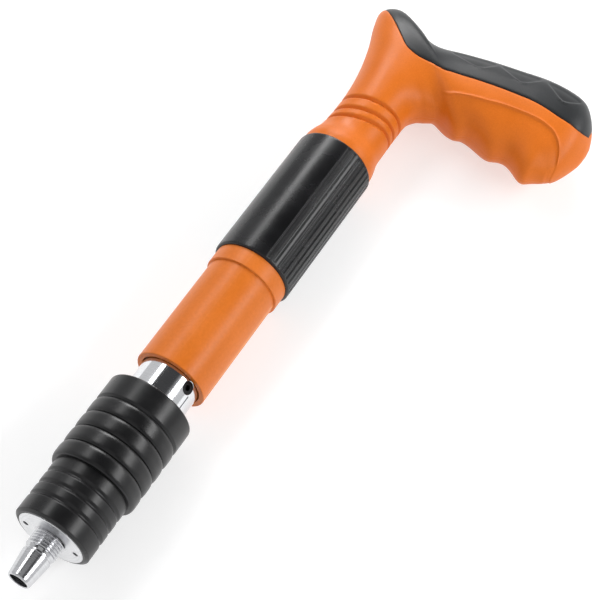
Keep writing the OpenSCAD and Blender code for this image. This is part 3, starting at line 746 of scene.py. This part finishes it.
def shell_columns(u):
    """Angles of one ring of the shell, from the back to the finger side."""
    edge = strap_half(u)
    bead, stretch = bead_at(u)
    near_edge = [edge + mm / MM_PER_DEGREE for mm in EDGE_COLUMNS]
    near_bead = [bead + mm * stretch / MM_PER_DEGREE for mm in BEAD_COLUMNS]
    near_seam = [176.0, 178.2, 179.1, 180.0]
    angles = [0.0, 0.9, 1.8, 4.0]
    for count, group in ((12, near_edge), (6, near_bead), (18, near_seam)):
        gap = (group[0] - angles[-1]) / (count + 1)
        angles += [angles[-1] + gap * i for i in range(1, count + 1)] + group
    return angles


def shell_rings():
    """Places along the handle of the shell's rings, closer where there is fine detail."""
    rings = steps(0.0, 3.08, 0.06) + steps(3.12, 5.3, 0.025) + steps(5.4, 8.1, 0.1)
    rings += [8.18, 8.24, 8.27, 8.29, 8.31, 8.335, 8.35, 8.37] + steps(8.42, 12.0, 0.06)
    rings += steps(12.1, 18.2, 0.1) + steps(18.25, 20.6, 0.035)
    rings += [20.66, 20.72, 20.76, 20.78, 20.79, 20.81, 20.83, 20.86, 20.9]
    rings += steps(20.96, LAST, 0.05)
    return rings


def inner_point(u, degrees):
    """Inside of the shell: a bore for the rear plug, then the hollow of the grip."""
    s = section(u)
    x = (s[0] + s[2]) / 2
    r = SOCKET_R if x < SOCKET_END else TENON_R
    a = radians(degrees)
    bore = Vector((x, r * cos(a), r * sin(a)))
    hollow = skin(u, degrees, -WALL)
    return bore.lerp(hollow, smooth((u - 4.8) / 1.4))


# places of the screws in x and y; all but the first stand in bosses
SCREWS = ((289, 0), (338, 12), (334, -44), (338, -82))
SEAT_Z, HEAD_R, SHANK_R = -10.5, 3.8, 2.05
BOSS_R, BOSS_H = 5.2, 11.0


def half_shell(name, side):
    """Hollow half of the handle, above or below z = 0."""
    bm = bmesh.new()
    outer, inner = [], []
    for u in shell_rings():
        angles = shell_columns(u)
        outer.append([])
        for a in angles:
            p = skin(leaning(u, a), a, shell_relief(u, a))
            outer[-1].append(bm.verts.new((p.x, p.y, side * abs(p.z))))
        if u <= CLOSED_U:
            inner.append([])
            for a in angles:
                p = inner_point(u, a)
                inner[-1].append(bm.verts.new((p.x, p.y, side * abs(p.z))))
    last = len(outer[0]) - 1
    end = len(inner) - 1
    # the skin and the hollow
    for rings in (outer, inner):
        for one, two in zip(rings, rings[1:]):
            for j in range(last):
                bm.faces.new((one[j], one[j + 1], two[j + 1], two[j]))
    # the open end, then the split face beside the hollow
    for j in range(last):
        bm.faces.new((outer[0][j], inner[0][j], inner[0][j + 1], outer[0][j + 1]))
    for i in range(end):
        for j in (0, last):
            bm.faces.new((outer[i][j], outer[i + 1][j], inner[i + 1][j], inner[i][j]))
    # the hollow's far end, and the split face across the solid butt
    bm.faces.new(inner[end])
    bm.faces.new((
        outer[end][0], inner[end][0], inner[end][last], outer[end][last],
        outer[end + 1][last], outer[end + 1][0]))
    for i in range(end + 1, len(outer) - 1):
        bm.faces.new((outer[i][0], outer[i][last], outer[i + 1][last], outer[i + 1][0]))
    bm.faces.new(outer[-1])
    return new_object(name, bm, 35)


def screw_places(which):
    return [Matrix.Translation((x, y, 0)) for x, y in which]


def build_shells():
    top = half_shell("handle_shell_top_moulded", 1)
    bosses = rods("bosses_top", screw_places(SCREWS[1:]), [(0, BOSS_R), (BOSS_H, BOSS_R)])
    top = cut(top, bosses, "UNION", 35)
    bottom = half_shell("handle_shell_bottom_moulded", -1)
    bosses = rods("bosses_bottom", screw_places(SCREWS[1:]), [(-BOSS_H, BOSS_R), (0, BOSS_R)])
    bottom = cut(bottom, bosses, "UNION", 35)
    depths = [(-30, HEAD_R), (SEAT_Z, HEAD_R), (SEAT_Z + 0.01, SHANK_R), (1, SHANK_R)]
    holes = rods("screw_holes", screw_places(SCREWS), depths)
    bottom = cut(bottom, holes, "DIFFERENCE", 35)
    place(top, "handle_shell_top")
    place(bottom, "handle_shell_bottom")


build_shells()

# three long pads are let into the strap on each side: middle along it, half length
PADS = ((14.2, 0.85), (15.97, 0.85), (17.95, 0.95))
# angles of a pad's upper edge, of its lower edge at the ends, and the lower edge's drop
PAD_TOP, PAD_SIDE, PAD_LOW, PAD_DEPTH, LIP_HEIGHT = 36, 46, 20, 0.55, 0.3
# the strap's rounded edge: distance in from the edge and height, in millimetres across
# it, and in places at its two ends
STRAP_RIM = [(0.12, -1.2), (0.14, -0.6), (0.3, -0.22), (0.55, -0.07), (0.9, 0.0)]
STRAP_ENDS = [(0.0, -0.9), (0.012, -0.45), (0.035, -0.18), (0.07, -0.05), (0.12, 0.0)]
STRAP_COLUMNS, STRAP_UNDER = 76, 24


def strap_relief(u, degrees):
    """How far the strap's surface stands above or below the plain skin, in millimetres."""
    a = abs(degrees)
    for middle, half in PADS:
        t = abs(u - middle) / half
        if t >= 1:
            continue
        # the lower edge is lowest in the middle of the pad, where it has a short lip
        low = PAD_SIDE + PAD_LOW * (1 - t ** 1.6)
        inside = (low - a) * MM_PER_DEGREE
        ends = smooth((1 - t) / 0.2) * smooth((a - PAD_TOP) / 9)
        lip = exp(-(((inside + 0.3) / 0.35) ** 2)) * smooth((0.36 - t) / 0.1)
        return LIP_HEIGHT * lip - PAD_DEPTH * smooth(inside / 0.9) * ends
    return 0.0


def build_strap():
    bm = bmesh.new()
    places = [(STRAP_FROM + d, drop) for d, drop in STRAP_ENDS]
    places += [(u, 0.0) for u in steps(STRAP_FROM + 0.17, STRAP_TO - 0.17, 0.05)]
    places += [(STRAP_TO - d, drop) for d, drop in reversed(STRAP_ENDS)]
    rings = []
    for u, drop in places:
        half = strap_half(u)
        columns = [(half - mm / MM_PER_DEGREE, low) for mm, low in STRAP_RIM]
        flat_half = columns[-1][0]
        middle = [
            (flat_half * (1 - 2 * i / STRAP_COLUMNS), 0.0) for i in range(1, STRAP_COLUMNS)]
        columns += middle + [(-a, low) for a, low in reversed(columns)]
        ring = []
        for a, low in columns:
            ring.append(skin(leaning(u, a), abs(a), min(low, drop) + strap_relief(u, a)))
            ring[-1].z = abs(ring[-1].z) * (1 if a > 0 else -1)
        under_half = half - STRAP_RIM[0][0] / MM_PER_DEGREE
        for i in range(STRAP_UNDER + 1):
            a = -under_half * (1 - 2 * i / STRAP_UNDER)
            p = skin(leaning(u, a), abs(a), -STRAP_T)
            ring.append(Vector((p.x, p.y, abs(p.z) * (1 if a > 0 else -1))))
        rings.append([bm.verts.new(p) for p in ring])
    total = len(rings[0])
    for one, two in zip(rings, rings[1:]):
        for j in range(total):
            k = (j + 1) % total
            bm.faces.new((one[j], one[k], two[k], two[j]))
    bm.faces.new(reversed(rings[0]))
    bm.faces.new(rings[-1])
    return new_object("handle_back_strap_moulded", bm, 40)


place(build_strap(), "handle_back_strap")


# ---------------------------------------------------------------- springs

def place_spring(node, r, wire, turns):
    """Coil in the place of a CAD spring."""
    x0, x1 = span(node)
    spring = place(coil(node + "_wound", x0, x1, r, wire, turns), node)
    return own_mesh(spring)


place_spring(
    "return_spring", r=13.6, wire=0.9, turns=5)
place_spring(
    "main_spring", r=8.5, wire=1.2, turns=6)
place_spring(
    "pin_spring", r=5.2, wire=0.5, turns=5)


def place_sear_spring():
    low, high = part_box("sear_spring")
    length = (high.z - low.z) / MM
    spring = coil(
        "sear_spring_wound", 0.0, length, r=1.1, wire=0.25, turns=4, sides=10, per_turn=40)
    turn = Matrix.Translation(((low.x + high.x) / 2, 0, low.z)) @ Matrix.Rotation(-pi / 2, 4, "Y")
    spring.data.transform(turn)
    place(spring, "sear_spring")
    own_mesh(spring)


place_sear_spring()


# ---------------------------------------------------------------- floor, lights, camera

FLOOR_Z, FLOOR_HALF = cad_box[0].z, 6.0
CAMERA_AT, CAMERA_AIM = Vector((-201.3, -180.2, 690.3)) * MM, Vector((187.3, -27.1, 0.0)) * MM
CAMERA_ROLL = radians(11.335)


def build_floor():
    mesh = bpy.data.meshes.new("floor")
    corners = [(x * FLOOR_HALF, y * FLOOR_HALF, FLOOR_Z)
               for x, y in ((-1, -1), (1, -1), (1, 1), (-1, 1))]
    mesh.from_pydata(corners, [], [(0, 1, 2, 3)])
    ground = bpy.data.objects.new("floor", mesh)
    bpy.context.scene.collection.objects.link(ground)
    mesh.materials.append(material(
        "floor_paper", (0.50, 0.50, 0.50), (0.53, 0.53, 0.53), rough=(0.8, 0.9),
        drift=3.0, grain=400.0, grain_depth=0.02, specular=0.1, glow=0.58))


def softbox(name, position, aim, size, power):
    """Rectangular area light at position that faces aim, both in metres."""
    light = bpy.data.lights.new(name, "AREA")
    light.shape = "RECTANGLE"
    light.size, light.size_y = size
    light.energy = power
    obj = bpy.data.objects.new(name, light)
    obj.location = position
    obj.rotation_mode = "QUATERNION"
    obj.rotation_quaternion = (Vector(aim) - Vector(position)).to_track_quat("-Z", "Y")
    bpy.context.scene.collection.objects.link(obj)


def build_world():
    """Pale round the horizon and dark overhead, which gives the metal its dark band."""
    world = bpy.data.worlds.new("studio")
    world.use_nodes = True
    tree = world.node_tree
    tree.nodes.clear()
    out = add(tree, "ShaderNodeOutputWorld")
    direction = add(tree, "ShaderNodeTexCoord").outputs["Generated"]
    height = add(tree, "ShaderNodeSeparateXYZ", {0: direction}).outputs[2]
    ramp = add(tree, "ShaderNodeValToRGB", {0: height})
    ramp.color_ramp.elements[0].position = 0.60
    ramp.color_ramp.elements[0].color = (0.80, 0.80, 0.81, 1)
    ramp.color_ramp.elements[1].position = 0.80
    ramp.color_ramp.elements[1].color = (0.07, 0.07, 0.072, 1)
    sky = add(tree, "ShaderNodeBackground", {"Color": ramp.outputs[0], "Strength": 0.8})
    tree.links.new(sky.outputs[0], out.inputs["Surface"])
    bpy.context.scene.world = world


def build_camera():
    data = bpy.data.cameras.new("camera")
    data.lens = 102.0
    data.sensor_width = 36.0
    data.clip_start, data.clip_end = 0.05, 20.0
    cam = bpy.data.objects.new("camera", data)
    cam.location = CAMERA_AT
    cam.rotation_mode = "QUATERNION"
    look = (CAMERA_AIM - CAMERA_AT).to_track_quat("-Z", "Y").to_matrix()
    cam.rotation_quaternion = (look @ Matrix.Rotation(CAMERA_ROLL, 3, "Z")).to_quaternion()
    bpy.context.scene.collection.objects.link(cam)
    bpy.context.scene.camera = cam


build_floor()
build_world()
# a soft light overhead, two strips along the tube for the highlights on it, and a light
# from the handle's side
softbox("over", (-0.60, 0.0, 1.5), (0.2, -0.03, 0), (1.2, 1.6), 2.4)
softbox("left_strip", (0.66, 0.50, 0.69), (0.66, 0.0, 0.0), (1.3, 0.22), 3.4)
softbox("right_strip", (0.66, -0.66, 0.53), (0.66, 0.0, 0.0), (1.3, 0.26), 6.0)
softbox("far_side", (1.3, 0.55, 0.75), (0.3, -0.03, 0.0), (0.7, 0.5), 10.0)
build_camera()
bpy.context.scene.view_settings.view_transform = "Standard"
